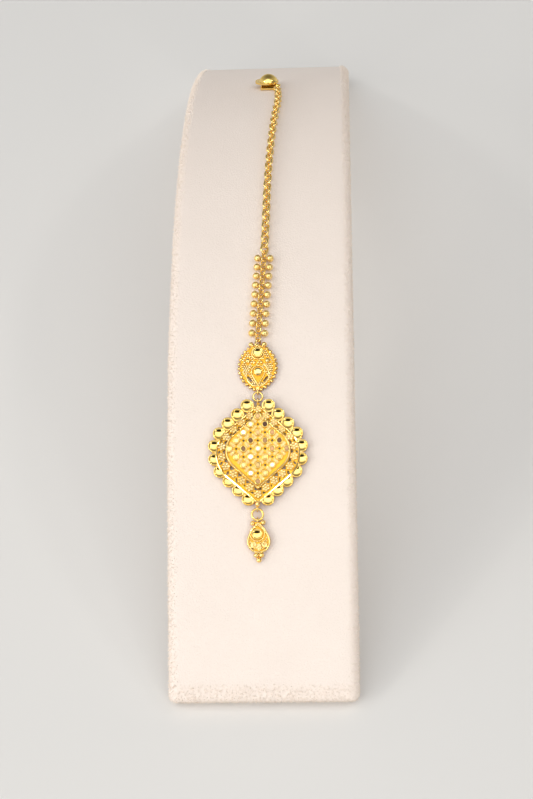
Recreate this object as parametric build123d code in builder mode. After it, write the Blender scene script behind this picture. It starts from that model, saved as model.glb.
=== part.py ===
from build123d import *
from math import acos, atan2, cos, degrees, hypot, pi, radians, sin
import os

# Gold maang tikka (forehead ornament) lying on a padded velvet display ramp.
# Millimetres, +Z up. The origin is on the table, under the middle of the ramp.
# The ramp runs along Y, and its front foot is at -Y.

# ---- driving dimensions: display ramp ----
ramp_width = 45.0
board_thickness = 6.0
crest_radius = 140.0        # upper face of the bent board
foot_run = 50.0             # straight stretch at each end of the board
foot_slope = 37.0           # degrees, at both ends
foot_flat = 1.0             # how far each bottom edge is flattened where it stands
board_round = 2.4           # round of the velvet over the board's long edges
board_end_round = 1.6       # and over its ends

# ---- driving dimensions: chain of oval links ----
link_wire = 0.52
link_pitch = 1.78
link_width = 2.39           # outside, in the link's own plane
link_roll = 40.0            # each link rolls this far, left and right by turns
link_slack = 0.16           # play between the wires of two links
chain_lift = 0.97           # centre of the chain above the velvet

# ---- driving dimensions: rows of ball pairs ----
row_count = 9
row_pitch = 2.61
ball_diameter = 1.75
ball_spacing = 3.1
row_wire = 0.36
row_ring_width = 1.6
peg_diameter = 0.5
peg_place = 0.29            # shares of the spacing: middle of each peg, and its length
peg_share = 0.2

# ---- driving dimensions: hair hook ----
hook_strip = 0.5            # thickness of the strip and of the leaf
hook_gap = 0.9              # room for the hair inside the fold
hook_width = 4.4
hook_reach = 3.7            # from the middle of the button to the outside of the fold
hook_tail = 2.6             # and to the free end of the lower arm
leaf_half_width = 3.3
leaf_half_length = 2.75
leaf_shift = -0.45          # the leaf's tip shows beyond the button on one side
button_radius = 2.65
button_rise = 1.9
solder_bead = 1.3           # joins the chain's last eye to the strip

# ---- driving dimensions: medallion ----
medal_top = 5.5             # outline through the centres of the border beads
medal_side = 4.4
medal_foot = -6.2
medal_belly = -0.3          # height of the widest place
medal_bead = 0.9
medal_bead_height = 0.52    # of the border beads' middles
medal_beads_a_side = 13
medal_inset = 0.12          # edge of the back plate, inside the beads' centres
medal_upper = (0.0, 3.15)   # middle of the upper boss and of its collar
medal_lower = (0.1, -1.7)   # middle of the lower boss and of its teardrop
upper_boss = 2.2            # diameters
lower_boss = 1.8
upper_collar = {"radius": 1.5, "reach": 1.95}
lower_collar = {"radius": 1.6, "reach": -3.25}
leaf_wire_points = [(1.75, 0.1), (2.75, -2.3), (0.55, -5.25)]
medal_balls = [             # diameter, across and up: one of each on both sides
    (1.24, 1.6, 5.38),
    (0.9, 0.85, 0.8),
    (1.3, 2.35, 1.2),
]
medal_ball_rise = 0.73
medal_top_ball = (1.0, 0.0, 5.15, 0.65)     # diameter, across, up and height of its middle
medal_slot = {"across": 1.9, "up": -3.4, "turn": 52, "length": 1.7, "width": 0.5}
medal_neck = ((0.0, -5.85, 0.55), (0.6, 0.9, 0.5))      # middle and size
boss_height = 0.55
boss_taper = 12
plate = 0.7                 # thickness of every flat piece's back plate
fine_wire = 0.42            # soldered wires on the medallion and drop
fine_lift = 0.1             # their centre above the back plate

# ---- driving dimensions: pendant ----
frame_wire = 0.5
wire_lift = 0.22            # centre of the outer and inner wire above the back plate
frame = {"half_width": 9.85, "half_height": 11.65, "side_radius": 7.3, "rise": -0.25}
inner = {"half_width": 7.5, "half_height": 8.95, "side_radius": 5.0, "rise": 0.6}
band = {"half_width": 8.7, "half_height": 10.2, "side_radius": 6.2, "rise": 0.3}
rim = {"half_width": 10.35, "half_height": 13.4, "side_radius": 8.2, "rise": 0.25}
scallops_a_side = 10
scallop_start = 0.1         # shares of the rim's half outline at the first and last scallop
scallop_end = 0.91
scallop_diameter = 3.2
scallop_height = 1.1
scallop_inset = 0.08        # step from the back plate's lobe in to the cup's wall
scoop_radius = 2.0
scoop_depth = 0.6
scoop_shift = 0.18          # outward, so that each cup opens at its outer edge
rosettes_a_side = 10        # with one more at the top and one at the bottom
granule = 0.62              # each rosette is seven of these, soldered in a flower
granule_step = 0.57
granule_rise = 0.4
gap_margin = 0.08
gap_near = 0.12             # point of a pierced triangle, from the middle of the band
gap_base = 0.35             # half its far side, and how much of its reach is added to that
gap_spread = 0.3
lattice_size = 5            # studs along each side of the lattice
lattice_across = 1.71       # half pitch of the lattice, across and up
lattice_up = 1.95
lattice_rise = 0.95
stud_diameter = 1.7
stud_height = 0.5
table_diameter = 1.1        # faceted disc set in each stud
table_facets = 8
table_margin = 0.06         # groove between the disc and the stud's ring
table_recess = 0.15
table_rise = 0.05
table_taper = 30
pendant_necks = [           # middle and size of the strips that carry the upper and lower eye
    ((0.05, 11.45, 0.35), (0.7, 1.0, 0.5)),
    ((-0.18, -12.0, 0.4), (0.8, 1.6, 0.7)),
]
pendant_foot_ball = (1.25, -0.12, -12.15, 0.75)
bar_length = 1.5
bar_width = 0.74
bar_rise = 0.35
crossing_gap = 0.5
trim_sink = 0.1             # how far raised pieces run down into the back plate

# ---- driving dimensions: drop and jump rings ----
drop_radius = 2.55          # centre line of the teardrop frame
drop_reach = 4.3
drop_wire_lift = 0.18       # centre of the frame above the back plate
drop_shoulder = 20          # degrees above the widest place, where the frame turns towards its tip
drop_boss = (-0.3, 1.75)
drop_boss_diameter = 2.5
drop_collar_size = {"radius": 1.7, "reach": 2.3}
drop_balls = [              # diameter, across, up and height of its middle
    (1.15, -1.32, 4.3, 0.64),
    (1.15, 1.15, 4.42, 0.64),
    (1.28, -0.68, -3.22, 0.66),
    (1.28, 0.5, -3.22, 0.66),
    (1.28, -0.1, -4.35, 0.66),
]
drop_neck = ((0.0, 4.3, 0.5), (2.0, 0.5, 0.4))
drop_slot = {"across": 1.6, "up": -1.65, "turn": 50, "length": 1.0, "width": 0.45}
petal_size = (0.5, 0.8)
petal_rise = 0.3
petal_places = [(-1.3, -0.75, -40), (0.0, -1.35, 0), (1.3, -0.75, 40)]
medal_ring_radius = 1.1     # centre line of the ring between medallion and pendant
medal_ring_wire = 0.46
drop_ring_radius = 1.32     # centre line of the ring between pendant and drop
drop_ring_wire = 0.54
eye_radius = 0.56
eye_wire = 0.34
melted_bead = 1.2           # where two wires meet, in wire diameters

# ---- places on the ramp: across from its middle, along its upper face from the front edge ----
drop_across, drop_along = -0.65, 37.4
drop_turn = 1.3
drop_ring_across, drop_ring_along = -0.88, 43.7
pendant_across, pendant_along = -0.6, 58.3
pendant_turn = -0.4
medal_ring_across, medal_ring_along = -0.54, 71.8
medal_across, medal_along = -0.58, 79.55
hook_across, hook_along = 0.0, 187.4
piece_lift = 0.15           # clearance of the flat pieces over the velvet
ring_lift = 0.95            # centre plane of the jump rings over the velvet

# Route of the chain in the same two measures, from the medallion's eye to the hook's eye.
chain_route = [
    (-0.56, 85.25),
    (0.10, 97.5),
    (0.78, 109.5),
    (1.20, 131.0),
    (1.85, 152.0),
    (2.60, 167.0),
    (2.98, 173.0),
    (2.98, 178.5),
    (2.55, 184.0),
]

os.makedirs("parts", exist_ok=True)

# The upper face is an arc about (0, crest_centre) with a tangent run at each end.
foot_half_turn = radians(foot_slope)
front_edge_y = -(crest_radius * sin(foot_half_turn) + foot_run * cos(foot_half_turn))
front_edge_z = board_thickness * cos(foot_half_turn) - foot_flat
crest_centre = front_edge_z + foot_run * sin(foot_half_turn) - crest_radius * cos(foot_half_turn)


def seat(across, along, lift=0.0, turn=0.0):
    """Plane lying on the ramp's upper face: x across, y up the board, z out of the velvet."""
    if along < foot_run:
        slope = foot_half_turn
        y = front_edge_y + along * cos(slope)
        z = front_edge_z + along * sin(slope)
    else:
        slope = foot_half_turn - (along - foot_run) / crest_radius
        y = -crest_radius * sin(slope)
        z = crest_centre + crest_radius * cos(slope)
    level = Plane(origin=(across, y, z), x_dir=(1, 0, 0), z_dir=(0, -sin(slope), cos(slope)))
    return level.offset(lift).rotated((0, 0, turn))


# ---- display ramp: one padded board, bent into a low arch ----
mid_radius = crest_radius - board_thickness / 2
with BuildPart() as display_ramp:
    with BuildLine(Plane.YZ) as board_line:
        crest = CenterArc((0, crest_centre), mid_radius, 90 + foot_slope, -2 * foot_slope)
        PolarLine(crest @ 0, foot_run, direction=-(crest % 0))
        PolarLine(crest @ 1, foot_run, direction=crest % 1)
    board_start = board_line.line @ 0
    with BuildSketch(Plane(origin=board_start, x_dir=(1, 0, 0), z_dir=board_line.line % 0)):
        RectangleRounded(ramp_width, board_thickness, board_round)
    sweep(path=board_line.line)
    ends = display_ramp.faces().sort_by(Axis.Y)
    fillet(ends[0].edges() + ends[-1].edges(), board_end_round)
    split(bisect_by=Plane.XY, keep=Keep.TOP)
display_ramp.part.label = "display_ramp"
export_step(display_ramp.part, "parts/display_ramp.step")


def oval_link(plane, length, width, wire):
    """Link of round wire: two straight legs joined by half rings, y along the link."""
    bend = (width - wire) / 2
    leg = (length - width) / 2
    with BuildPart() as link:
        with BuildLine(plane) as loop:
            Line((bend, -leg), (bend, leg))
            CenterArc((0, leg), bend, 0, 180)
            Line((-bend, leg), (-bend, -leg))
            CenterArc((0, -leg), bend, 180, 180)
        with BuildSketch(Plane(origin=loop.line @ 0, z_dir=loop.line % 0)):
            Circle(wire / 2)
        sweep(path=loop.line)
    return link.part


def standing_eye(ring_seat, towards):
    """Small soldered eye that stands across a jump ring's wire, seen from the ring's middle."""
    with BuildPart(ring_seat) as eye:
        with Locations(Location((0, towards, 0), (0, 90, 0))):
            Torus(eye_radius, eye_wire / 2)
    return eye.part


def chain_place(distance, lift, roll):
    """Plane of a link at a distance along the chain, rolled about the chain."""
    share = distance / route.length
    spot = route @ share
    heading = route % share
    turn = degrees(atan2(heading.Y, heading.X)) - 90
    return seat(spot.X, spot.Y, lift, turn).rotated((0, roll, 0))


route = Spline(*chain_route)

# ---- rows of ball pairs, each pair soldered to the sides of one oval ring ----
row_ring_length = row_pitch / 2 + 2 * row_wire + link_slack
row_turns = [row_pitch * (row_count - k) for k in range(row_count)]
peg_length = ball_spacing * peg_share
peg_places = [
    Location((side * ball_spacing * peg_place, 0, 0), (0, 90, 0)) for side in (-1, 1)
]
for k, distance in enumerate(row_turns):
    row_ring = oval_link(
        chain_place(distance, chain_lift, link_roll), row_ring_length, row_ring_width, row_wire
    )
    with BuildPart() as ball_row:
        add(row_ring)
        with Locations(chain_place(distance, chain_lift, 0)):
            with Locations((-ball_spacing / 2, 0), (ball_spacing / 2, 0)):
                Sphere(ball_diameter / 2, rotation=(0, 0, 90))
            with Locations(*peg_places):
                Cylinder(peg_diameter / 2, peg_length)
    ball_row.part.label = f"ball_row_{k + 1}"
    export_step(ball_row.part, f"parts/ball_row_{k + 1}.step")

# ---- the small links between the rows, and from the last row to the medallion's eye ----
with BuildPart() as row_links:
    add([
        oval_link(
            chain_place(row_pitch * (k + 0.5), chain_lift, -link_roll),
            row_ring_length, row_ring_width, row_wire,
        )
        for k in range(row_count + 1)
    ])
row_links.part.label = "row_links"
export_step(row_links.part, "parts/row_links.step")

# ---- plain chain: oval links, rolled left and right by turns ----
link_length = link_pitch + 2 * link_wire + link_slack
first_link = (
    row_pitch * (row_count + 0.5)
    + (row_ring_length + link_length) / 2 - row_wire - link_wire - link_slack
)
link_total = int((route.length - first_link) / link_pitch) + 1
with BuildPart() as link_chain:
    add([
        oval_link(
            chain_place(first_link + link_pitch * k, chain_lift, link_roll * (1 - 2 * (k % 2))),
            link_length, link_width, link_wire,
        )
        for k in range(link_total)
    ])
link_chain.part.label = "link_chain"
export_step(link_chain.part, "parts/link_chain.step")

# ---- hair hook: a domed button on a leaf, and under it a flat strip folded back over itself ----
hook_bend = (hook_gap + hook_strip) / 2
leaf_foot = hook_gap + hook_strip
hook_seat = seat(hook_across, hook_along, piece_lift)
eye_place = chain_place(
    first_link + link_pitch * link_total, chain_lift, link_roll * (1 - 2 * (link_total % 2))
)
last_eye = oval_link(eye_place, link_length, link_width, link_wire)
bead_place = eye_place.from_local_coords((0, (link_length - link_wire) / 2, 0))
with BuildPart() as hair_hook:
    with BuildSketch(Plane.YZ):
        with BuildLine():
            fold_start = (hook_reach - hook_bend, hook_strip / 2)
            fold_middle = (hook_reach - hook_bend, hook_strip / 2 + hook_bend)
            Line((-hook_tail, hook_strip / 2), fold_start)
            fold = CenterArc(fold_middle, hook_bend, -90, 180)
            Line(fold @ 1, (0, hook_strip / 2 + 2 * hook_bend))
        trace(line_width=hook_strip)
    extrude(amount=hook_width / 2, both=True)
    with BuildSketch(Plane.XY.offset(leaf_foot)):
        with Locations((leaf_shift, 0)):
            Ellipse(leaf_half_width, leaf_half_length)
    extrude(amount=hook_strip)
    with BuildSketch(Plane.XZ):
        with BuildLine():
            button_rim = (button_radius, leaf_foot + hook_strip)
            button_top = (0, leaf_foot + hook_strip + button_rise)
            Line((0, leaf_foot), button_top)
            dome_radius = (button_radius**2 + button_rise**2) / (2 * button_rise)
            RadiusArc(button_top, button_rim, dome_radius)
            Line(button_rim, (button_radius, leaf_foot))
            Line((button_radius, leaf_foot), (0, leaf_foot))
        make_face()
    revolve(axis=Axis.Z)
    add(hook_seat.to_local_coords(last_eye), clean=False)
    with Locations(hook_seat.to_local_coords(bead_place)):
        Sphere(solder_bead / 2)
hair_hook.part.locate(hook_seat.location)
hair_hook.part.label = "hair_hook"
export_step(hair_hook.part, "parts/hair_hook.step")


def tube(path, wire):
    """Round wire swept along a path, with open ends."""
    with BuildPart() as length:
        with BuildSketch(Plane(origin=path @ 0, z_dir=path % 0)):
            Circle(wire / 2)
        sweep(path=path)
    return length.part


def ball(diameter, x, y, z):
    """One solid bead at a spot in the piece's own frame, its seam turned away from the middle."""
    with BuildPart() as bead:
        with Locations((x, y, z)):
            Sphere(diameter / 2, rotation=(0, 0, degrees(atan2(y, x))))
    return bead.part


def teardrop_side(radius, reach):
    """Right half of a circle about the origin drawn out to a point at that reach along y."""
    touch = degrees(acos(radius / abs(reach)))
    way = 1 if reach > 0 else -1
    with BuildLine() as outline:
        arc = CenterArc((0, 0), radius, way * (90 - touch), way * (touch - 180))
        Line((0, reach), arc @ 0)
    return outline.line


def wire_pair(side_line, wire):
    """Round wire along the right half of a figure, and its mirror image."""
    right = tube(side_line, wire)
    return [right, mirror(right, about=Plane.YZ)]


def end_beads(side_line, wire):
    """Melted bead at each end of such a pair, one where the halves meet on the middle line."""
    ends = [side_line @ 0, side_line @ 1]
    ends += [Vector(-end.X, end.Y) for end in ends if end.X > wire]
    return [ball(wire * melted_bead, end.X, end.Y, 0) for end in ends]


def slot_place(slot, side):
    """Place and lean of one of a pair of pierced slots."""
    return Location((side * slot["across"], slot["up"], 0), (0, 0, side * slot["turn"]))


# ---- jump rings ----
medal_ring_seat = seat(medal_ring_across, medal_ring_along, ring_lift)
with BuildPart(medal_ring_seat) as medallion_ring:
    Torus(medal_ring_radius, medal_ring_wire / 2)
medallion_ring.part.label = "medallion_ring"
export_step(medallion_ring.part, "parts/medallion_ring.step")

drop_ring_seat = seat(drop_ring_across, drop_ring_along, ring_lift)
with BuildPart(drop_ring_seat) as pendant_ring:
    Torus(drop_ring_radius, drop_ring_wire / 2)
pendant_ring.part.label = "pendant_ring"
export_step(pendant_ring.part, "parts/pendant_ring.step")

# ---- medallion: pointed oval plate with a beaded border, two bosses, wires and leaves ----
medal_seat = seat(medal_across, medal_along, piece_lift)
medal_eye = chain_place(0, chain_lift, link_roll)
with BuildLine() as medal_edge:
    ThreePointArc((0, medal_foot), (medal_side, medal_belly), (0, medal_top))
with BuildLine() as medal_leaf:
    ThreePointArc(*leaf_wire_points)
border_spots = [
    medal_edge.line @ ((k + 0.75) / (medal_beads_a_side + 1)) for k in range(medal_beads_a_side)
]
medal_trim = []
for middle, size in ((medal_upper, upper_collar), (medal_lower, lower_collar)):
    collar = teardrop_side(**size)
    for piece in wire_pair(collar, fine_wire) + end_beads(collar, fine_wire):
        medal_trim.append(Pos(*middle, plate + fine_lift) * piece)
for piece in wire_pair(medal_leaf.line, fine_wire) + end_beads(medal_leaf.line, fine_wire):
    medal_trim.append(Pos(0, 0, plate + fine_lift) * piece)
for side in (-1, 1):
    medal_trim += [ball(medal_bead, side * spot.X, spot.Y, medal_bead_height) for spot in border_spots]
    medal_trim += [ball(size, side * x, y, medal_ball_rise) for size, x, y in medal_balls]
medal_trim.append(ball(*medal_top_ball))
medal_link = oval_link(medal_eye, row_ring_length, row_ring_width, row_wire)
medal_trim.append(medal_seat.to_local_coords(medal_link))
medal_trim.append(medal_seat.to_local_coords(standing_eye(medal_ring_seat, medal_ring_radius)))
medal_trim.append(Pos(*medal_neck[0]) * Box(*medal_neck[1]))
with BuildPart() as medallion:
    with BuildSketch():
        with BuildLine():
            add(medal_edge.line)
            mirror(about=Plane.YZ)
        make_face()
        offset(amount=-medal_inset)
        for side in (-1, 1):
            with Locations(slot_place(medal_slot, side)):
                SlotOverall(medal_slot["length"], medal_slot["width"], mode=Mode.SUBTRACT)
    extrude(amount=plate)
    for middle, diameter in ((medal_upper, upper_boss), (medal_lower, lower_boss)):
        with BuildSketch(Plane.XY.offset(plate)):
            with Locations(middle):
                Circle(diameter / 2)
        extrude(amount=boss_height, taper=boss_taper)
    for piece in medal_trim:
        add(piece, clean=False)
medallion.part.locate(medal_seat.location)
medallion.part.label = "medallion"
export_step(medallion.part, "parts/medallion.step")


def lozenge_side(half_width, half_height, side_radius, rise):
    """Right half of a rounded lozenge, from its top point round the side to its bottom point."""
    reach = half_width - side_radius
    lean = acos(side_radius / hypot(half_height, reach)) - atan2(reach, half_height)
    touch_x = reach + side_radius * sin(lean)
    touch_y = side_radius * cos(lean)
    with BuildLine() as outline:
        Line((0, rise + half_height), (touch_x, rise + touch_y))
        ThreePointArc((touch_x, rise + touch_y), (half_width, rise), (touch_x, rise - touch_y))
        Line((touch_x, rise - touch_y), (0, rise - half_height))
    return outline.line


def along_side(outline, share):
    """Point on a half outline, and the turn there that points y outward."""
    spot = outline @ share
    heading = outline % share
    return spot, degrees(atan2(heading.Y, heading.X))


def both_sides(places):
    """Each place on the right half, and its mirror image unless it is on the middle line."""
    right = [Location((spot.X, spot.Y, 0), (0, 0, turn)) for spot, turn in places]
    left = [Location((-spot.X, spot.Y, 0), (0, 0, -turn)) for spot, turn in places if spot.X > granule]
    return right + left


# ---- pendant: pierced plate with a scalloped rim, two wire frames, rosettes and a studded lattice ----
pendant_seat = seat(pendant_across, pendant_along, piece_lift, pendant_turn)
frame_side = lozenge_side(**frame)
inner_side = lozenge_side(**inner)
band_side = lozenge_side(**band)
rim_side = lozenge_side(**rim)
scallop_step = (scallop_end - scallop_start) / (scallops_a_side - 1)
rim_places = [along_side(rim_side, scallop_start + scallop_step * k) for k in range(scallops_a_side)]
rosette_places = [along_side(band_side, k / (rosettes_a_side + 1)) for k in range(rosettes_a_side + 2)]
gap_places = [
    along_side(band_side, (k + 0.5) / (rosettes_a_side + 1)) for k in range(rosettes_a_side + 1)
]
stud_places = [
    (lattice_across * (i - j), lattice_rise + lattice_up * (i + j - lattice_size + 1))
    for i in range(lattice_size) for j in range(lattice_size)
]
bar_lean = degrees(atan2(lattice_up, lattice_across))
bar_right = [
    Location((
        lattice_across * (i - j) + lattice_across / 2,
        lattice_rise + lattice_up * (i + j - lattice_size + 1) + lattice_up / 2,
        0,
    ), (0, 0, -bar_lean))
    for i in range(lattice_size - 1) for j in range(lattice_size)
]
bar_left = [Location((-bar.position.X, bar.position.Y, 0), (0, 0, bar_lean)) for bar in bar_right]
bar_places = bar_right + bar_left
crossing_places = [
    (lattice_across * (i - j), lattice_rise + lattice_up * (i + j - lattice_size + 2))
    for i in range(lattice_size - 1) for j in range(lattice_size - 1)
]

pendant_trim = [Pos(0, 0, plate + wire_lift) * half for half in wire_pair(frame_side, frame_wire)]
for piece in wire_pair(inner_side, frame_wire) + end_beads(inner_side, frame_wire):
    pendant_trim.append(Pos(0, 0, plate + wire_lift) * piece)
pendant_trim.append(pendant_seat.to_local_coords(standing_eye(medal_ring_seat, -medal_ring_radius)))
pendant_trim.append(pendant_seat.to_local_coords(standing_eye(drop_ring_seat, drop_ring_radius)))
pendant_trim += [Pos(*middle) * Box(*size) for middle, size in pendant_necks]
pendant_trim.append(ball(*pendant_foot_ball))
with BuildPart() as pendant:
    # back plate: the frame's outline and a round lobe under each scallop
    with BuildSketch():
        with BuildLine():
            add(frame_side)
            mirror(about=Plane.YZ)
        make_face()
        with Locations(*both_sides(rim_places)):
            Circle(scallop_diameter / 2)
        # the pairs of pierced triangles between the rosettes
        for spot, turn in gap_places:
            for outline, outward in ((frame_side, 1), (inner_side, -1)):
                far = outline.distance_to(Vertex(spot)) - frame_wire / 2 - gap_margin
                half_base = gap_base + gap_spread * far
                corners = (-half_base, outward * far), (half_base, outward * far), (0, outward * gap_near)
                for side in (-1, 1):
                    with Locations(Location((side * spot.X, spot.Y, 0), (0, 0, side * turn))):
                        Polygon(*corners, align=None, mode=Mode.SUBTRACT)
        # the small gaps where the lattice bars cross
        with Locations(*crossing_places):
            Rectangle(crossing_gap, crossing_gap, rotation=45, mode=Mode.SUBTRACT)
    extrude(amount=plate)
    # scallops: a round cup on each lobe, hollowed by a scoop that opens outward and up
    with BuildSketch(Plane.XY.offset(plate - trim_sink)):
        with Locations(*both_sides(rim_places)):
            Circle(scallop_diameter / 2 - scallop_inset)
    extrude(amount=scallop_height - plate + trim_sink)
    with Locations(*both_sides(rim_places)):
        with Locations((0, scoop_shift, scallop_height + scoop_radius - scoop_depth)):
            Sphere(scoop_radius, mode=Mode.SUBTRACT)
    # the cups end at the frame: inside it the band is clear down to the back plate
    with BuildSketch(Plane.XY.offset(plate)):
        with BuildLine():
            add(frame_side)
            mirror(about=Plane.YZ)
        make_face()
    extrude(amount=scallop_height, mode=Mode.SUBTRACT)
    # rosettes of seven granules, one of them at the top and one at the bottom
    with BuildSketch(Plane.XY.offset(plate - trim_sink)):
        with Locations(*both_sides(rosette_places)):
            Circle(granule / 2)
            with PolarLocations(granule_step, 6):
                Circle(granule / 2)
    extrude(amount=granule_rise + trim_sink)
    # lattice: granulated bars, and between them studs with a faceted table
    with BuildSketch(Plane.XY.offset(plate - trim_sink)):
        with Locations(*bar_places):
            Rectangle(bar_length, bar_width)
    extrude(amount=bar_rise + trim_sink)
    with BuildSketch(Plane.XY.offset(plate - trim_sink)):
        with Locations(*stud_places):
            Circle(stud_diameter / 2)
    extrude(amount=stud_height + trim_sink)
    with BuildSketch(Plane.XY.offset(plate + stud_height)):
        with Locations(*stud_places):
            Circle(table_diameter / 2 + table_margin)
    extrude(amount=-table_recess, mode=Mode.SUBTRACT)
    with BuildSketch(Plane.XY.offset(plate + stud_height - table_recess - trim_sink)):
        with Locations(*stud_places):
            RegularPolygon(table_diameter / 2, table_facets)
    extrude(amount=table_recess + trim_sink + table_rise, taper=table_taper)
    for piece in pendant_trim:
        add(piece, clean=False)
pendant.part.locate(pendant_seat.location)
pendant.part.label = "pendant"
export_step(pendant.part, "parts/pendant.step")

# ---- drop: small teardrop with a boss, a fan of petals and a tip of three balls ----
drop_seat = seat(drop_across, drop_along, piece_lift, drop_turn)
with BuildLine() as drop_edge:
    belly = CenterArc((0, 0), drop_radius, drop_shoulder, -90 - drop_shoulder)
    TangentArc(belly @ 0, (0, drop_reach), tangent=-(belly % 0))
drop_side = drop_edge.line
drop_collar = teardrop_side(**drop_collar_size)
drop_trim = [Pos(0, 0, plate + drop_wire_lift) * half for half in wire_pair(drop_side, frame_wire)]
for piece in wire_pair(drop_collar, fine_wire) + end_beads(drop_collar, fine_wire):
    drop_trim.append(Pos(*drop_boss, plate + fine_lift) * piece)
drop_trim.append(drop_seat.to_local_coords(standing_eye(drop_ring_seat, -drop_ring_radius)))
drop_trim += [ball(*bead) for bead in drop_balls]
drop_trim.append(Pos(*drop_neck[0]) * Box(*drop_neck[1]))
with BuildPart() as drop:
    with BuildSketch():
        with BuildLine():
            add(drop_side)
            mirror(about=Plane.YZ)
        make_face()
        for side in (-1, 1):
            with Locations(slot_place(drop_slot, side)):
                SlotOverall(drop_slot["length"], drop_slot["width"], mode=Mode.SUBTRACT)
    extrude(amount=plate)
    with BuildSketch(Plane.XY.offset(plate)):
        with Locations(drop_boss):
            Circle(drop_boss_diameter / 2)
    extrude(amount=boss_height, taper=boss_taper)
    with BuildSketch(Plane.XY.offset(plate - trim_sink)):
        for x, y, turn in petal_places:
            with Locations(Location((x, y, 0), (0, 0, turn))):
                Ellipse(*petal_size)
    extrude(amount=petal_rise + trim_sink)
    for piece in drop_trim:
        add(piece, clean=False)
drop.part.locate(drop_seat.location)
drop.part.label = "drop"
export_step(drop.part, "parts/drop.step")
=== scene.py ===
import math

import bmesh
import bpy
from mathutils import Matrix, Vector, noise


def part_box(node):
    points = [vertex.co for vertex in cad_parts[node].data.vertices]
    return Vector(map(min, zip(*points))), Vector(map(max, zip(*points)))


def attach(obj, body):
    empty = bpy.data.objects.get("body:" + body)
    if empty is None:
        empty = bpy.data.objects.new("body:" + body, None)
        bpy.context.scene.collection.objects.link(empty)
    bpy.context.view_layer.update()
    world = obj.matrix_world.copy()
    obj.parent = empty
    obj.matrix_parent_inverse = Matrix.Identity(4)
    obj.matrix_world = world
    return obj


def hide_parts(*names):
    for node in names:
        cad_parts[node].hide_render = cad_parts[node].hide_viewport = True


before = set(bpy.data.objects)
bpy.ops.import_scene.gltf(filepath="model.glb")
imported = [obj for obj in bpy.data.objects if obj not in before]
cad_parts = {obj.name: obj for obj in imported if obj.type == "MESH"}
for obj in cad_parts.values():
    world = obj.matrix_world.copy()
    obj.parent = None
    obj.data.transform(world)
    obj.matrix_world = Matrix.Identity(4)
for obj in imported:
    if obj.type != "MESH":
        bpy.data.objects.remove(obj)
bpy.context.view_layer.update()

# ---- camera ----
# A long lens looks down along the ramp from over its right edge, a little above the crest's height
# and close to the front foot, so that the chain runs away from the eye and over the crest.
camera_spot = Vector((0.0214, -0.3227, 0.3211))
camera_dip = math.radians(47.0)
camera_yaw = math.radians(4.445)
camera_roll = math.radians(-4.287)
camera_data = bpy.data.cameras.new("camera")
camera_data.sensor_fit = "VERTICAL"
camera_data.sensor_height = 36.0
camera_data.lens = 71.0
camera_data.clip_start = 0.01
camera = bpy.data.objects.new("camera", camera_data)
bpy.context.collection.objects.link(camera)
turn = Matrix.Rotation(camera_yaw, 4, "Z") @ Matrix.Rotation(math.pi / 2 - camera_dip, 4, "X")
camera.matrix_world = Matrix.Translation(camera_spot) @ turn @ Matrix.Rotation(camera_roll, 4, "Z")
bpy.context.scene.camera = camera

# ---- studio: a pale floor, a soft surround, one large soft key and four small clear lamps ----
# The surround is pale at the front and dim at the back. A bright canopy high in front, a dark screen
# under it and a dark flag at the right give polished metal its form. The key lights the front slope.
floor_half = 1.5
floor_colour = (0.80, 0.79, 0.77, 1.0)


def link_mesh(name, mesh):
    """Object at the origin that holds a finished mesh."""
    piece = bpy.data.objects.new(name, mesh)
    bpy.context.collection.objects.link(piece)
    return piece


def new_material(name):
    """Material, with its node tree and its shader."""
    made = bpy.data.materials.new(name)
    made.use_nodes = True
    return made, made.node_tree, made.node_tree.nodes["Principled BSDF"]


floor_mesh = bpy.data.meshes.new("floor")
floor_corners = [(x * floor_half, y * floor_half, 0) for x, y in ((-1, -1), (1, -1), (1, 1), (-1, 1))]
floor_mesh.from_pydata(floor_corners, [], [(0, 1, 2, 3)])
floor = link_mesh("floor", floor_mesh)
floor_paint, _, shader = new_material("floor_paint")
shader.inputs["Base Color"].default_value = floor_colour
shader.inputs["Roughness"].default_value = 0.9
floor_mesh.materials.append(floor_paint)

lamp_aim = Vector((0, -0.06, 0.04))
small_lamp_size = 0.06


def lamp(name, spot, size, power, colour):
    """Square soft lamp at a spot, turned towards the ornament."""
    light = bpy.data.lights.new(name, "AREA")
    light.shape = "SQUARE"
    light.size = size
    light.energy = power
    light.color = colour
    holder = bpy.data.objects.new(name, light)
    holder.location = spot
    holder.rotation_euler = (lamp_aim - Vector(spot)).to_track_quat("-Z", "Y").to_euler()
    bpy.context.collection.objects.link(holder)


lamp("key", (-1.00, -0.64, 0.50), 0.50, 2.85, (1.0, 0.985, 0.96))
for name, spot, power in (
    ("left", (-0.50, -0.10, 0.55), 0.34),
    ("right", (0.44, -0.04, 0.58), 0.26),
    ("left_front", (-0.37, -0.54, 0.22), 0.36),
    ("right_front", (0.30, -0.575, 0.245), 0.36),
):
    lamp(name, spot, small_lamp_size, power, (1.0, 0.97, 0.92))


def add_node(tree, kind, values=None, **settings):
    """New node in a tree, with its own settings and the values of its inputs."""
    made = tree.nodes.new(kind)
    for key, value in settings.items():
        setattr(made, key, value)
    for key, value in (values or {}).items():
        made.inputs[key].default_value = value
    return made


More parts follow.
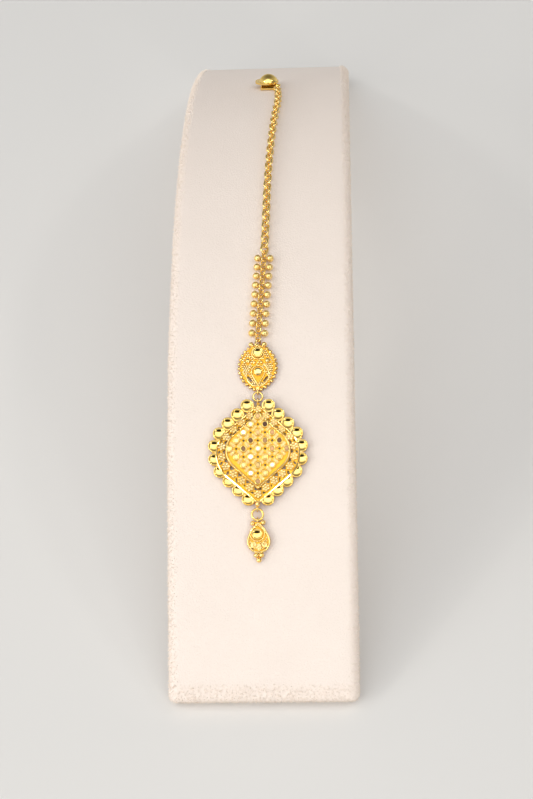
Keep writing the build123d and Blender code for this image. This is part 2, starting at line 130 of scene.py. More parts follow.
world = bpy.data.worlds.new("surround")
bpy.context.scene.world = world
world.use_nodes = True
sky_tree = world.node_tree
sky = sky_tree.nodes["Background"]
sky_coords = add_node(sky_tree, "ShaderNodeTexCoord")
sky_ramp = add_node(sky_tree, "ShaderNodeValToRGB")
sky_levels = (
    (0.45, (0.70, 0.69, 0.68, 1.0)),
    (0.62, (0.50, 0.50, 0.50, 1.0)),
    (0.80, (0.36, 0.36, 0.36, 1.0)),
    (0.96, (0.18, 0.18, 0.18, 1.0)),
)
for position, colour in sky_levels[1:]:
    sky_ramp.color_ramp.elements.new(position).color = colour
sky_ramp.color_ramp.elements[0].position, sky_ramp.color_ramp.elements[0].color = sky_levels[0]
sky_ramp.color_ramp.elements.remove(sky_ramp.color_ramp.elements[-1])
backward = add_node(sky_tree, "ShaderNodeVectorMath", {1: (0.0, 0.62, 0.785)}, operation="DOT_PRODUCT")


def patch(middle, stretch, core, rim, inside, outside):
    """Soft-edged oval patch of the surround: a level inside it and another outside."""
    offset = add_node(sky_tree, "ShaderNodeVectorMath", {1: middle}, operation="SUBTRACT")
    widened = add_node(sky_tree, "ShaderNodeVectorMath", {1: (stretch, 1.0, 1.0)}, operation="MULTIPLY")
    away = add_node(sky_tree, "ShaderNodeVectorMath", operation="LENGTH")
    level = add_node(sky_tree, "ShaderNodeMapRange", {
        "From Min": core, "From Max": rim, "To Min": inside, "To Max": outside,
    }, interpolation_type="SMOOTHSTEP")
    sky_tree.links.new(sky_coords.outputs["Generated"], offset.inputs[0])
    sky_tree.links.new(offset.outputs[0], widened.inputs[0])
    sky_tree.links.new(widened.outputs[0], away.inputs[0])
    sky_tree.links.new(away.outputs["Value"], level.inputs["Value"])
    return level.outputs[0]


canopy = patch((-0.06, -0.43, 0.897), stretch=0.7, core=0.26, rim=0.60, inside=1.45, outside=0.0)
screen = patch((-0.06, -0.78, 0.63), stretch=0.45, core=0.16, rim=0.27, inside=0.03, outside=1.0)
flag = patch((0.93, -0.30, 0.20), stretch=1.0, core=0.35, rim=0.85, inside=0.35, outside=1.0)
screened = add_node(sky_tree, "ShaderNodeMath", operation="MULTIPLY")
sky_tree.links.new(screen, screened.inputs[0])
sky_tree.links.new(flag, screened.inputs[1])
lifted = add_node(sky_tree, "ShaderNodeVectorMath", operation="ADD")
dimmed = add_node(sky_tree, "ShaderNodeVectorMath", operation="SCALE")
sky_tree.links.new(sky_coords.outputs["Generated"], backward.inputs[0])
sky_tree.links.new(backward.outputs["Value"], sky_ramp.inputs["Fac"])
sky_tree.links.new(sky_ramp.outputs["Color"], lifted.inputs[0])
sky_tree.links.new(canopy, lifted.inputs[1])
sky_tree.links.new(lifted.outputs[0], dimmed.inputs[0])
sky_tree.links.new(screened.outputs[0], dimmed.inputs["Scale"])
sky_tree.links.new(dimmed.outputs[0], sky.inputs["Color"])

bpy.context.scene.view_settings.view_transform = "Standard"

# ---- display ramp ----
# Thin board bent into a low arch, padded and wrapped in cream velvet. The cloth is glued round the
# long edges, where its join shows as a shallow crease, and its short nap stands out along them.
ramp_low, ramp_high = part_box("display_ramp")
ramp_width = ramp_high.x - ramp_low.x
board_thickness = 0.006
crest_radius = 0.140
foot_run = 0.050
foot_turn = math.radians(37.0)
board_round = 0.0024
end_round = 0.0016
join_depth = 0.0004
crest_centre = ramp_high.z - crest_radius
front_edge_y = -(crest_radius * math.sin(foot_turn) + foot_run * math.cos(foot_turn))
front_edge_z = crest_centre + crest_radius * math.cos(foot_turn) - foot_run * math.sin(foot_turn)
ramp_run = 2 * foot_run + 2 * crest_radius * foot_turn


def seat(across, along, lift=0.0, turn=0.0):
    """Place on the velvet: x across the ramp, y up along it, z out of it."""
    if along < foot_run:
        slope = foot_turn
        y = front_edge_y + along * math.cos(slope)
        z = front_edge_z + along * math.sin(slope)
    elif along > ramp_run - foot_run:
        slope = -foot_turn
        past = ramp_run - along
        y = -front_edge_y - past * math.cos(slope)
        z = front_edge_z - past * math.sin(slope)
    else:
        slope = foot_turn - (along - foot_run) / crest_radius
        y = -crest_radius * math.sin(slope)
        z = crest_centre + crest_radius * math.cos(slope)
    place = Matrix.Translation((across, y, z)) @ Matrix.Rotation(slope, 4, "X")
    return place @ Matrix.Translation((0, 0, lift)) @ Matrix.Rotation(turn, 4, "Z")


def rounded_section(width, height, radius):
    """Points round a rectangle with round corners, as (x, z, outward x, outward z)."""
    steps = 6
    flat_steps = 24
    points = []
    for centre_x, centre_z, start in (
        (width / 2 - radius, -radius, 0),
        (-width / 2 + radius, -radius, 90),
        (-width / 2 + radius, -height + radius, 180),
        (width / 2 - radius, -height + radius, 270),
    ):
        for k in range(steps + 1):
            angle = math.radians(start + 90 * k / steps)
            across, up = math.cos(angle), math.sin(angle)
            points.append((centre_x + radius * across, centre_z + radius * up, across, up))
        if start in (90, 270):
            side = -1 if start == 90 else 1
            for drop, sunk in ((0.35, 0.0), (0.5, join_depth), (0.65, 0.0)):
                drop = drop if start == 90 else 1 - drop
                points.append((side * (width / 2 - sunk), -height * drop, side, 0.0))
        else:
            side = 1 if start == 0 else -1
            for k in range(1, flat_steps):
                x = side * (width / 2 - radius) * (1 - 2 * k / flat_steps)
                points.append((x, 0.0 if side > 0 else -height, 0.0, side))
    return points


section = rounded_section(ramp_width, board_thickness, board_round)
end_rings = [
    (end_round * (1 - math.cos(math.radians(a))), end_round * (1 - math.sin(math.radians(a))))
    for a in (0, 22, 45, 68)
]
body_rings = 220
ring_step = (ramp_run - 2 * end_round) / body_rings
rings = list(end_rings)
rings += [(end_round + ring_step * k, 0.0) for k in range(body_rings + 1)]
rings += [(ramp_run - along, inset) for along, inset in reversed(end_rings)]
velvet_form = bmesh.new()
loops = []
edge_shares = []
pad_depth = 0.00012
pad_waves = 90.0
end_reach = 0.004
round_gain = 2.2
hem_height = -0.0055
hem_slope = -0.75
for along, inset in rings:
    place = seat(0, along)
    loop = []
    end_share = 1.0 if min(along, ramp_run - along) < end_reach else 0.0
    for x, z, out_x, out_z in section:
        press = pad_depth * (1 + noise.noise(Vector((x, along, z)) * pad_waves)) / 2
        sink = inset + press
        point = place @ Vector((x - sink * out_x, 0, z - sink * out_z))
        point.z = max(point.z, 0.0)
        loop.append(velvet_form.verts.new(point))
        round_share = min(1.0, abs(out_x) * round_gain)
        seen = out_z > hem_slope and z > hem_height
        edge_shares.append(max(round_share, end_share) if seen else 0.0)
    loops.append(loop)
for near, far in zip(loops, loops[1:]):
    for k in range(len(section)):
        n = (k + 1) % len(section)
        velvet_form.faces.new((near[k], near[n], far[n], far[k]))
velvet_form.faces.new(list(reversed(loops[0])))
velvet_form.faces.new(loops[-1])
bmesh.ops.recalc_face_normals(velvet_form, faces=velvet_form.faces)
velvet_mesh = bpy.data.meshes.new("velvet_ramp")
velvet_form.to_mesh(velvet_mesh)
velvet_form.free()
for face in velvet_mesh.polygons:
    face.use_smooth = True
edge = velvet_mesh.attributes.new("edge", "FLOAT", "POINT")
edge.data.foreach_set("value", edge_shares)
velvet_ramp = link_mesh("velvet_ramp", velvet_mesh)

# Sockets of a mix node for colours: its two colours and its result.
mix_a, mix_b, mix_out = 6, 7, 2
velvet, tree, shader = new_material("velvet")
shader.inputs["Roughness"].default_value = 0.95
shader.inputs["Sheen Weight"].default_value = 0.35
shader.inputs["Sheen Roughness"].default_value = 0.45
shader.inputs["Sheen Tint"].default_value = (1.0, 0.95, 0.90, 1.0)
coords = add_node(tree, "ShaderNodeTexCoord")
brushed = add_node(tree, "ShaderNodeTexNoise", {"Scale": 60.0, "Detail": 4.0})
nap = add_node(tree, "ShaderNodeTexNoise", {"Scale": 2600.0, "Detail": 3.0})
tone = add_node(tree, "ShaderNodeMix", {
    mix_a: (0.87, 0.765, 0.69, 1.0), mix_b: (0.95, 0.85, 0.775, 1.0),
}, data_type="RGBA")
blend = add_node(tree, "ShaderNodeMath", {1: 0.5}, operation="MULTIPLY_ADD")
bump = add_node(tree, "ShaderNodeBump", {"Strength": 0.6, "Distance": 0.0002})
for node in (brushed, nap):
    tree.links.new(coords.outputs["Object"], node.inputs["Vector"])
tree.links.new(nap.outputs["Fac"], blend.inputs[0])
half_brushed = add_node(tree, "ShaderNodeMath", {1: 0.5}, operation="MULTIPLY")
tree.links.new(brushed.outputs["Fac"], half_brushed.inputs[0])
tree.links.new(half_brushed.outputs[0], blend.inputs[2])
tree.links.new(blend.outputs[0], tone.inputs[0])
tree.links.new(tone.outputs[mix_out], shader.inputs["Base Color"])
tree.links.new(nap.outputs["Fac"], bump.inputs["Height"])
tree.links.new(bump.outputs["Normal"], shader.inputs["Normal"])
velvet_mesh.materials.append(velvet)
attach(velvet_ramp, "root")
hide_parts("display_ramp")

# ---- nap: the velvet's short pile, standing out along the edges ----
# Each fibre is a closed three-sided sliver, rooted in the cloth and leaning its own way. It stands
# where the cloth turns over an edge, and the flat top and the underside have none.


def open_sockets(group, inputs, outputs):
    """Give a node group its inputs, each with its usual value, and its outputs."""
    for socket, kind, value in inputs:
        made = group.interface.new_socket(socket, in_out="INPUT", socket_type="NodeSocket" + kind)
        if value is not None:
            made.default_value = value
    for socket, kind in outputs:
        group.interface.new_socket(socket, in_out="OUTPUT", socket_type="NodeSocket" + kind)


def live(sockets):
    """The sockets that a node's settings leave in use."""
    return [socket for socket in sockets if socket.enabled]


nap_tree = bpy.data.node_groups.new("nap", "GeometryNodeTree")
open_sockets(nap_tree, (
    ("Cloth", "Geometry", None),
    ("Density", "Float", 7.0e6),
    ("Length", "Float", 0.00055),
    ("Thickness", "Float", 0.00009),
    ("Lean", "Float", 0.75),
    ("Seed", "Int", 3),
    ("Fibre", "Material", None),
), (("Pile", "Geometry"),))
cloth = add_node(nap_tree, "NodeGroupInput")
pile = add_node(nap_tree, "NodeGroupOutput")
share = add_node(nap_tree, "GeometryNodeInputNamedAttribute", {"Name": "edge"}, data_type="FLOAT")
crowd = add_node(nap_tree, "ShaderNodeMath", operation="MULTIPLY")
rooted = add_node(nap_tree, "GeometryNodeDistributePointsOnFaces")
sliver = add_node(nap_tree, "GeometryNodeMeshCone", {"Vertices": 3, "Radius Top": 0.0})
tilt = add_node(nap_tree, "FunctionNodeRandomValue", data_type="FLOAT_VECTOR")
opposite = add_node(nap_tree, "ShaderNodeMath", {1: -1.0}, operation="MULTIPLY")
low_tilt = add_node(nap_tree, "ShaderNodeCombineXYZ")
high_tilt = add_node(nap_tree, "ShaderNodeCombineXYZ")
leaning = add_node(nap_tree, "FunctionNodeRotateRotation", rotation_space="LOCAL")
to_turn = add_node(nap_tree, "FunctionNodeEulerToRotation")
height = add_node(nap_tree, "FunctionNodeRandomValue", data_type="FLOAT")
sown = add_node(nap_tree, "GeometryNodeInstanceOnPoints")
grown = add_node(nap_tree, "GeometryNodeRealizeInstances")
dyed = add_node(nap_tree, "GeometryNodeSetMaterial")
join = nap_tree.links.new
join(cloth.outputs["Density"], crowd.inputs[0])
join(share.outputs["Attribute"], crowd.inputs[1])
join(cloth.outputs["Cloth"], rooted.inputs["Mesh"])
join(crowd.outputs[0], rooted.inputs["Density"])
join(cloth.outputs["Seed"], rooted.inputs["Seed"])
join(cloth.outputs["Thickness"], sliver.inputs["Radius Bottom"])
join(cloth.outputs["Length"], sliver.inputs["Depth"])
join(cloth.outputs["Lean"], opposite.inputs[0])
for axis in ("X", "Y"):
    join(opposite.outputs[0], low_tilt.inputs[axis])
    join(cloth.outputs["Lean"], high_tilt.inputs[axis])
join(low_tilt.outputs[0], live(tilt.inputs)[0])
join(high_tilt.outputs[0], live(tilt.inputs)[1])
join(cloth.outputs["Seed"], tilt.inputs["Seed"])
join(live(tilt.outputs)[0], to_turn.inputs[0])
join(rooted.outputs["Rotation"], leaning.inputs["Rotation"])
join(to_turn.outputs[0], leaning.inputs["Rotate By"])
live(height.inputs)[0].default_value = 0.6
live(height.inputs)[1].default_value = 1.25
join(cloth.outputs["Seed"], height.inputs["Seed"])
join(rooted.outputs["Points"], sown.inputs["Points"])
join(sliver.outputs["Mesh"], sown.inputs["Instance"])
join(leaning.outputs["Rotation"], sown.inputs["Rotation"])
join(live(height.outputs)[0], sown.inputs["Scale"])
join(sown.outputs["Instances"], grown.inputs["Geometry"])
join(grown.outputs["Geometry"], dyed.inputs["Geometry"])
join(cloth.outputs["Fibre"], dyed.inputs["Material"])
join(dyed.outputs["Geometry"], pile.inputs["Pile"])


def grow(name, base, tree, values):
    """Plain mesh grown by a tree from a base mesh, with the tree's named inputs set."""
    holder = link_mesh(name, base)
    grower = holder.modifiers.new(name, "NODES")
    grower.node_group = tree
    ids = {item.name: item.identifier for item in tree.interface.items_tree if item.in_out == "INPUT"}
    for key, value in values.items():
        grower[ids[key]] = value
    view = bpy.context.evaluated_depsgraph_get()
    mesh = bpy.data.meshes.new_from_object(holder.evaluated_get(view), depsgraph=view)
    bpy.data.objects.remove(holder)
    return mesh


fibre, tree, shader = new_material("fibre")
shader.inputs["Roughness"].default_value = 0.95
shader.inputs["Sheen Weight"].default_value = 0.3
coords = add_node(tree, "ShaderNodeTexCoord")
strand = add_node(tree, "ShaderNodeTexNoise", {"Scale": 3000.0})
strand_tone = add_node(tree, "ShaderNodeMix", {
    mix_a: (0.84, 0.75, 0.66, 1.0), mix_b: (0.97, 0.88, 0.80, 1.0),
}, data_type="RGBA")
tree.links.new(coords.outputs["Object"], strand.inputs["Vector"])
tree.links.new(strand.outputs["Fac"], strand_tone.inputs[0])
tree.links.new(strand_tone.outputs[mix_out], shader.inputs["Base Color"])
nap_mesh = grow("nap_roots", velvet_mesh.copy(), nap_tree, {"Fibre": fibre})
nap_mesh.name = "velvet_nap"
velvet_nap = link_mesh("velvet_nap", nap_mesh)
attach(velvet_nap, "root")

# ---- chain, ball rows, jump rings and hair hook ----
# Links and rings are round drawn wire, closed and tumbled bright. The balls are hollow pairs
# soldered to the ends of a short bar. The hook is a strip folded back under a domed button.
pale_colour = (1.0, 0.84, 0.46, 1.0)
cup_colour = (1.0, 0.79, 0.34, 1.0)
rubbed_colour = (1.0, 0.64, 0.10, 1.0)
matt_ground_and_shade_colour = (1.0, 0.57, 0.06, 1.0)
painted_recess_shade_colour = (0.36, 0.13, 0.015, 1.0)

# The whole ornament is high-carat yellow gold, polished on wires, beads and cups. The flat ground
# between soldered pieces stays matt where the polishing brush doesn't reach, and its deeper colour is
# partly that matt finish and partly painted shade between the raised parts. Below the ground, on the
# plate's sides and in its piercings, a darker colour is painted shade.
surface = bpy.data.node_groups.new("worked_gold", "ShaderNodeTree")
open_sockets(surface, (
    ("Place", "Vector", None),
    ("Bright", "Color", pale_colour),
    ("Ground height", "Float", 0.0),
    ("Ground fade", "Float", 0.0002),
    ("Polish", "Float", 0.09),
    ("Ground roughness", "Float", 0.46),
), (("Colour", "Color"), ("Roughness", "Float"), ("Relief", "Float")))
given = add_node(surface, "NodeGroupInput")
put_out = add_node(surface, "NodeGroupOutput")
axes = add_node(surface, "ShaderNodeSeparateXYZ")
surface.links.new(given.outputs["Place"], axes.inputs[0])
ground_top = add_node(surface, "ShaderNodeMath", operation="ADD")
surface.links.new(given.outputs["Ground height"], ground_top.inputs[0])
surface.links.new(given.outputs["Ground fade"], ground_top.inputs[1])
ground = add_node(surface, "ShaderNodeMapRange", {
    "To Min": 1.0, "To Max": 0.0,
}, interpolation_type="SMOOTHSTEP")
surface.links.new(axes.outputs["Z"], ground.inputs["Value"])
surface.links.new(given.outputs["Ground height"], ground.inputs["From Min"])
surface.links.new(ground_top.outputs[0], ground.inputs["From Max"])
# Painted shade: darker below the ground's height, on the plate's sides, in its piercings and
# underneath.
depth = add_node(surface, "ShaderNodeMath", {1: 0.0003}, operation="SUBTRACT")
surface.links.new(given.outputs["Ground height"], depth.inputs[0])
painted_recess_shade_mask = add_node(surface, "ShaderNodeMapRange", {
    "To Min": 1.0, "To Max": 0.0,
}, interpolation_type="SMOOTHSTEP")
surface.links.new(axes.outputs["Z"], painted_recess_shade_mask.inputs["Value"])
surface.links.new(depth.outputs[0], painted_recess_shade_mask.inputs["From Min"])
surface.links.new(given.outputs["Ground height"], painted_recess_shade_mask.inputs["From Max"])
sunk = add_node(surface, "ShaderNodeMix", {mix_a: matt_ground_and_shade_colour, mix_b: painted_recess_shade_colour}, data_type="RGBA")
surface.links.new(painted_recess_shade_mask.outputs[0], sunk.inputs[0])
wear = add_node(surface, "ShaderNodeTexNoise", {"Scale": 700.0, "Detail": 3.0})
surface.links.new(given.outputs["Place"], wear.inputs["Vector"])
grain = add_node(surface, "ShaderNodeTexNoise", {"Scale": 5200.0, "Detail": 2.0})
surface.links.new(given.outputs["Place"], grain.inputs["Vector"])
tint = add_node(surface, "ShaderNodeMix", {mix_b: rubbed_colour}, data_type="RGBA")
surface.links.new(given.outputs["Bright"], tint.inputs[mix_a])
surface.links.new(wear.outputs["Fac"], tint.inputs[0])
shade = add_node(surface, "ShaderNodeMix", data_type="RGBA")
surface.links.new(sunk.outputs[mix_out], shade.inputs[mix_b])
surface.links.new(ground.outputs[0], shade.inputs[0])
surface.links.new(tint.outputs[mix_out], shade.inputs[mix_a])
rubbed = add_node(surface, "ShaderNodeMath", operation="MULTIPLY")
haze = add_node(surface, "ShaderNodeMath", {1: 1.4}, operation="MULTIPLY_ADD")
surface.links.new(wear.outputs["Fac"], rubbed.inputs[0])
surface.links.new(given.outputs["Polish"], rubbed.inputs[1])
surface.links.new(rubbed.outputs[0], haze.inputs[0])
surface.links.new(given.outputs["Polish"], haze.inputs[2])
rough = add_node(surface, "ShaderNodeMix")
surface.links.new(ground.outputs[0], rough.inputs[0])
surface.links.new(haze.outputs[0], rough.inputs[2])
surface.links.new(given.outputs["Ground roughness"], rough.inputs[3])
relief = add_node(surface, "ShaderNodeMath", operation="MULTIPLY")
stipple = add_node(surface, "ShaderNodeMath", {1: 0.9, 2: 0.1}, operation="MULTIPLY_ADD")
surface.links.new(ground.outputs[0], stipple.inputs[0])
surface.links.new(stipple.outputs[0], relief.inputs[0])
surface.links.new(grain.outputs["Fac"], relief.inputs[1])
surface.links.new(shade.outputs[mix_out], put_out.inputs["Colour"])
surface.links.new(rough.outputs[0], put_out.inputs["Roughness"])
surface.links.new(relief.outputs[0], put_out.inputs["Relief"])


def gold_finish(name, polish, bright, place=None, ground_height=-1.0, ground_fade=0.0002):
    """Gold, and if it has a place, a matt ground with painted shade up to a height measured in that
    place, and darker painted shade below it.
    """
    metal, tree, shader = new_material(name)
    shader.inputs["Metallic"].default_value = 1.0
    coords = add_node(tree, "ShaderNodeTexCoord")
    worked = add_node(tree, "ShaderNodeGroup", {
        "Ground height": ground_height, "Ground fade": ground_fade, "Polish": polish, "Bright": bright,
    }, node_tree=surface)
    centred = add_node(tree, "ShaderNodeMapping")
    if place is not None:
        back = place.inverted()
        centred.inputs["Rotation"].default_value = back.to_euler("XYZ")
        centred.inputs["Location"].default_value = back.translation
    bump = add_node(tree, "ShaderNodeBump", {"Strength": 0.5, "Distance": 0.00006})
    tree.links.new(coords.outputs["Object"], centred.inputs["Vector"])
    tree.links.new(centred.outputs[0], worked.inputs["Place"])
    tree.links.new(worked.outputs["Colour"], shader.inputs["Base Color"])
    tree.links.new(worked.outputs["Roughness"], shader.inputs["Roughness"])
    tree.links.new(worked.outputs["Relief"], bump.inputs["Height"])
    tree.links.new(bump.outputs["Normal"], shader.inputs["Normal"])
    return metal


def dress(names, metal):
    """Give the same finish to several of the ornament's pieces."""
    for name in names:
        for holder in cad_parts[name].material_slots:
            holder.material = metal


bright_gold = gold_finish("bright_gold", polish=0.07, bright=cup_colour)
chain_gold = gold_finish("chain_gold", polish=0.12, bright=pale_colour)
ball_gold = gold_finish("ball_gold", polish=0.22, bright=pale_colour)
dress([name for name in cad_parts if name.startswith("ball_row")], ball_gold)
dress(["medallion_ring", "pendant_ring", "hair_hook", "row_links"], bright_gold)
dress(["link_chain"], chain_gold)

# ---- granules: tiny gold beads, melted on to the flat pieces ----
# Each was cut from wire, melted to a ball on charcoal and fused to the plate, so that no two are
# quite one size. One tree makes them all, from points that carry the size wanted there.
mm = 0.001
# The granules get a paler, creamier gold than the rest of the ornament: a painted highlight.
cream_painted_highlight_colour = (1.0, 0.91, 0.62, 1.0)
granule_gold = gold_finish("granule_gold", polish=0.15, bright=cream_painted_highlight_colour)
granule_tree = bpy.data.node_groups.new("granules", "GeometryNodeTree")
open_sockets(granule_tree, (
    ("Spots", "Geometry", None),
    ("Size spread", "Float", 0.08),
    ("Flatness", "Float", 0.6),
    ("Seed", "Int", 7),
    ("Metal", "Material", None),
), (("Granules", "Geometry"),))
spots = add_node(granule_tree, "NodeGroupInput")
done = add_node(granule_tree, "NodeGroupOutput")
bead = add_node(granule_tree, "GeometryNodeMeshIcoSphere", {"Radius": 1.0, "Subdivisions": 2})
smooth = add_node(granule_tree, "GeometryNodeSetShadeSmooth")
wanted = add_node(granule_tree, "GeometryNodeInputNamedAttribute", {
    "Name": "radius",
}, data_type="FLOAT")
less = add_node(granule_tree, "ShaderNodeMath", {0: 1.0}, operation="SUBTRACT")
more = add_node(granule_tree, "ShaderNodeMath", {0: 1.0}, operation="ADD")
chance = add_node(granule_tree, "FunctionNodeRandomValue", data_type="FLOAT")
scaled = add_node(granule_tree, "ShaderNodeMath", operation="MULTIPLY")
turned = add_node(granule_tree, "FunctionNodeRandomValue", {
    "Min": (-0.10, -0.10, 0.0), "Max": (0.10, 0.10, 6.28),
}, data_type="FLOAT_VECTOR")
pressed = add_node(granule_tree, "ShaderNodeMath", operation="MULTIPLY")
girth = add_node(granule_tree, "ShaderNodeCombineXYZ")
strewn = add_node(granule_tree, "GeometryNodeInstanceOnPoints")
whole = add_node(granule_tree, "GeometryNodeRealizeInstances")
cast = add_node(granule_tree, "GeometryNodeSetMaterial")
join = granule_tree.links.new
join(bead.outputs["Mesh"], smooth.inputs["Geometry"])
join(spots.outputs["Size spread"], less.inputs[1])
join(spots.outputs["Size spread"], more.inputs[1])
join(less.outputs[0], live(chance.inputs)[0])
join(more.outputs[0], live(chance.inputs)[1])
join(spots.outputs["Seed"], chance.inputs["Seed"])
join(spots.outputs["Seed"], turned.inputs["Seed"])
join(wanted.outputs["Attribute"], scaled.inputs[0])
join(live(chance.outputs)[0], scaled.inputs[1])
join(spots.outputs["Spots"], strewn.inputs["Points"])
join(smooth.outputs["Geometry"], strewn.inputs["Instance"])
join(live(turned.outputs)[0], strewn.inputs["Rotation"])
join(scaled.outputs[0], pressed.inputs[0])
join(spots.outputs["Flatness"], pressed.inputs[1])
join(scaled.outputs[0], girth.inputs["X"])
join(scaled.outputs[0], girth.inputs["Y"])
join(pressed.outputs[0], girth.inputs["Z"])
join(girth.outputs[0], strewn.inputs["Scale"])
join(strewn.outputs["Instances"], whole.inputs["Geometry"])
join(whole.outputs["Geometry"], cast.inputs["Geometry"])
join(spots.outputs["Metal"], cast.inputs["Material"])
join(cast.outputs["Geometry"], done.inputs["Granules"])


def settle(name, mesh, place, metal):
    """Put a finished mesh, made in a piece's own place, on the ramp as a piece of gold."""
    mesh.transform(place)
    mesh.name = name
    if not mesh.materials:
        mesh.materials.append(metal)
    piece = link_mesh(name, mesh)
    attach(piece, "root")


def granulate(name, beads, place, seed, spread=0.08):
    """Granules at (x, y, z, radius), in millimetres in the piece's own place."""
    cloud = bpy.data.meshes.new(name)
    cloud.from_pydata([(x * mm, y * mm, z * mm) for x, y, z, radius in beads], [], [])
    sizes = cloud.attributes.new("radius", "FLOAT", "POINT")
    sizes.data.foreach_set("value", [radius * mm for x, y, z, radius in beads])
    values = {"Size spread": spread, "Seed": seed, "Metal": granule_gold}
    settle(name, grow(name + "_spots", cloud, granule_tree, values), place, granule_gold)


# ---- medallion: a plate edged with beads, a cup and a button in wire collars, a beaded ground ----
# The plate, its wires and its border were soldered together. Fine granules fill the ground between
# the wires. A cup pressed from sheet sits in the upper collar, and a low button in the lower one.
plate_lift = 0.00015
medal_place = seat(-0.00058, 0.07955, plate_lift)
medal_plate = 0.7
medal_top, medal_side, medal_foot, medal_belly = 5.5, 4.4, -6.2, -0.3
medal_upper = (0.0, 3.15)
medal_lower = (0.1, -1.7)
cup_gold = gold_finish("cup_gold", polish=0.03, bright=cup_colour)
cut_gold = gold_finish("cut_gold", polish=0.03, bright=pale_colour)


def plate_gold(name, place, plate):
    """Gold of a soldered piece, matt and darker with painted shade on the plate's top, darker painted
    shade below it, and bright on all that stands over it.
    """
    margin = 0.00002
    ground_height = plate * mm + margin
    return gold_finish(name, 0.08, pale_colour, place, ground_height, ground_fade=0.0001)


dress(["medallion"], plate_gold("medallion_gold", medal_place, medal_plate))


def bow_of(top, side, foot, belly):
    """Middle and radius of the arc from the foot point round the side to the top point."""
    x1, y1, x2, y2, x3, y3 = 0.0, foot, side, belly, 0.0, top
    d = 2 * (x1 * (y2 - y3) + x2 * (y3 - y1) + x3 * (y1 - y2))
    s1, s2, s3 = x1 * x1 + y1 * y1, x2 * x2 + y2 * y2, x3 * x3 + y3 * y3
    x = (s1 * (y2 - y3) + s2 * (y3 - y1) + s3 * (y1 - y2)) / d
    y = (s1 * (x3 - x2) + s2 * (x1 - x3) + s3 * (x2 - x1)) / d
    return x, y, math.hypot(x1 - x, y1 - y)


def beaded_ground(pitch, half_width, low, high, height, radius, allowed):
    """Granules in close rows over the part of a plate that is allowed."""
    row_share = 0.87
    beads = []
    row = 0
    y = low
    while y <= high:
        x = -half_width + (pitch / 2 if row % 2 else 0.0)
        while x <= half_width:
            if allowed(x, y):
                beads.append((x, y, height, radius))
            x += pitch
        y += pitch * row_share
        row += 1
    return beads


def in_slot(x, y, slot):
    """Whether a spot is in, or nearly in, a slanting pierced slot of either side."""
    across, up, turn, length, width = slot
    end_margin, side_margin = 0.12, 0.16
    lean = math.radians(turn)
    dx, dy = abs(x) - across, y - up
    along = dx * math.cos(lean) + dy * math.sin(lean)
    aside = dy * math.cos(lean) - dx * math.sin(lean)
    return abs(along) < length / 2 + end_margin and abs(aside) < width / 2 + side_margin


bow_x, bow_y, bow_radius = bow_of(medal_top, medal_side, medal_foot, medal_belly)
medal_border = 0.62
medal_slot = (1.9, -3.4, 52, 1.7, 0.5)
# The bosses, the scrolls and the big beads, each with the radius that the granules leave free.
medal_clear = [(*medal_upper, 1.85), (*medal_lower, 1.95), (0.1, -3.6, 0.95), (0.0, 5.2, 1.1)]
medal_clear += [(side * x, y, r) for side in (-1, 1) for x, y, r in (
    (0.85, 0.8, 0.6), (2.35, 1.2, 0.85), (1.6, 5.38, 0.8))]


def on_medallion(x, y):
    """Whether a spot is on the medallion's open ground."""
    if math.hypot(abs(x) - bow_x, y - bow_y) > bow_radius - medal_border or in_slot(x, y, medal_slot):
        return False
    return all(math.hypot(x - cx, y - cy) > r for cx, cy, r in medal_clear)


medal_beads = beaded_ground(
    pitch=0.56, half_width=4.3, low=-5.0, high=4.8,
    height=medal_plate + 0.15, radius=0.28, allowed=on_medallion,
)
granulate("medallion_granules", medal_beads, medal_place, seed=11)


def turned_form(profile, turns, middle=(0.0, 0.0), lean=(0.0, 0.0)):
    """Closed form turned from (radius, height) pairs, tipped about height 0 and moved to its middle."""
    form = bmesh.new()
    rows = []
    for radius, height in profile:
        angles = [2 * math.pi * k / turns for k in range(turns if radius else 1)]
        rows.append([
            form.verts.new((radius * math.cos(a), radius * math.sin(a), height)) for a in angles
        ])
    for low, high in zip(rows, rows[1:]):
        for k in range(turns):
            n = (k + 1) % turns
            if len(low) == 1:
                form.faces.new((low[0], high[k], high[n]))
            elif len(high) == 1:
                form.faces.new((low[k], high[0], low[n]))
            else:
                form.faces.new((low[k], high[k], high[n], low[n]))
    bmesh.ops.recalc_face_normals(form, faces=form.faces)
    tip = Matrix.Rotation(lean[0], 4, "X") @ Matrix.Rotation(lean[1], 4, "Y")
    tip = Matrix.Translation((*middle, 0)) @ tip
    bmesh.ops.transform(form, matrix=tip, verts=form.verts)
    return form


def gather(forms, smooth=True):
    """One mesh from several forms given in millimetres."""
    whole_mesh = bpy.data.meshes.new("gathered")
    joined = bmesh.new()
    for form in forms:
        loose = bpy.data.meshes.new("loose")
        form.to_mesh(loose)
        form.free()
        joined.from_mesh(loose)
        bpy.data.meshes.remove(loose)
    bmesh.ops.scale(joined, vec=(mm, mm, mm), verts=joined.verts)
    joined.to_mesh(whole_mesh)
    joined.free()
    for side in whole_mesh.polygons:
        side.use_smooth = smooth
    return whole_mesh


